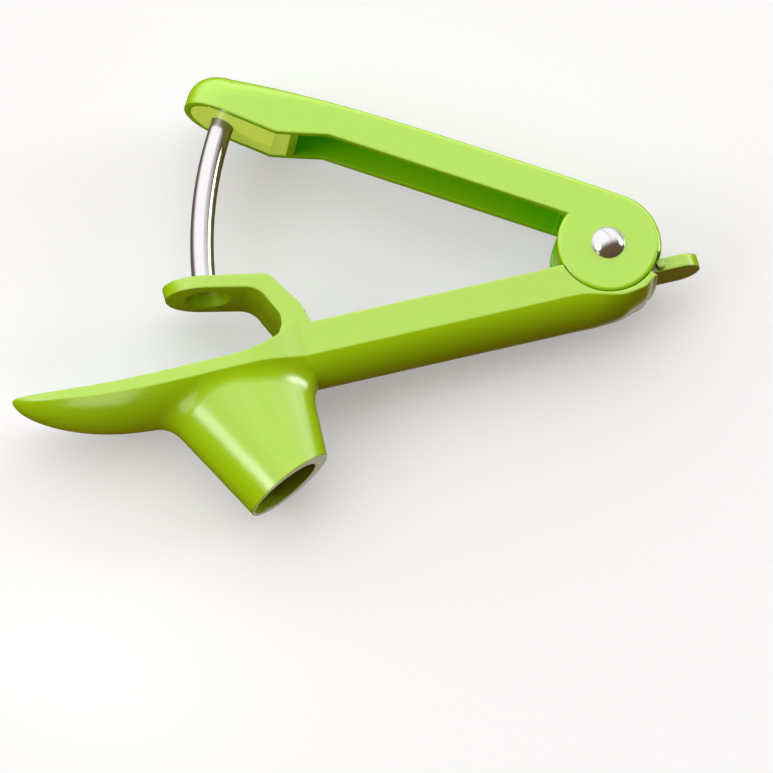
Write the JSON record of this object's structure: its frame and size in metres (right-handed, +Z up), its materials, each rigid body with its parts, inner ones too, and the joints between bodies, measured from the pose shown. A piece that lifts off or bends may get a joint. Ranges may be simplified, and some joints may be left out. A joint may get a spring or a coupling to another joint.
{
  "type": "cherry pitter",
  "caption": "Hand-held cherry pitter: two hinged plastic channel handles, a bent steel plunger rod, a guide arm over a funnel cup and nozzle, a splash guard and a lock tab.",
  "frame": {"origin": "centre of the bounding box in plan, on the level it rests on", "axes": "+X runs from the splash guard to the lock tab along the lower handle, +Y points from the lower handle to the raised upper handle, +Z is up along the pivot axis with the tool lying on its side"},
  "size_m": [0.1888, 0.1206, 0.0296],
  "materials": {
    "green_plastic": "gloss",
    "olive_plastic": "gloss",
    "polished_steel": "polished",
    "spring_steel": "satin"
  },
  "bodies": {
    "base": {"lower_handle": "green_plastic", "pivot_pin": "polished_steel", "rivet_cap": "polished_steel", "torsion_spring": "spring_steel"},
    "lever": {"upper_handle": "green_plastic", "rod_retainer": "olive_plastic", "plunger_rod": "polished_steel"},
    "lock": {"lock_slide": "green_plastic"}
  },
  "joints": [
    {"name": "handle_pivot", "type": "hinge", "parent": "base", "child": "lever", "pos_m": [0.07044, -0.01185, 0.01479], "axis": [0, 0, 1], "range_deg": [0, 24], "stiffness_Nm_per_rad": 0.05, "springref_deg": -28.65, "deforming": ["torsion_spring"]},
    {"name": "lock_travel", "type": "slide", "parent": "base", "child": "lock", "axis": [-1, 0, 0], "range_m": [0, 0.004]}
  ]
}
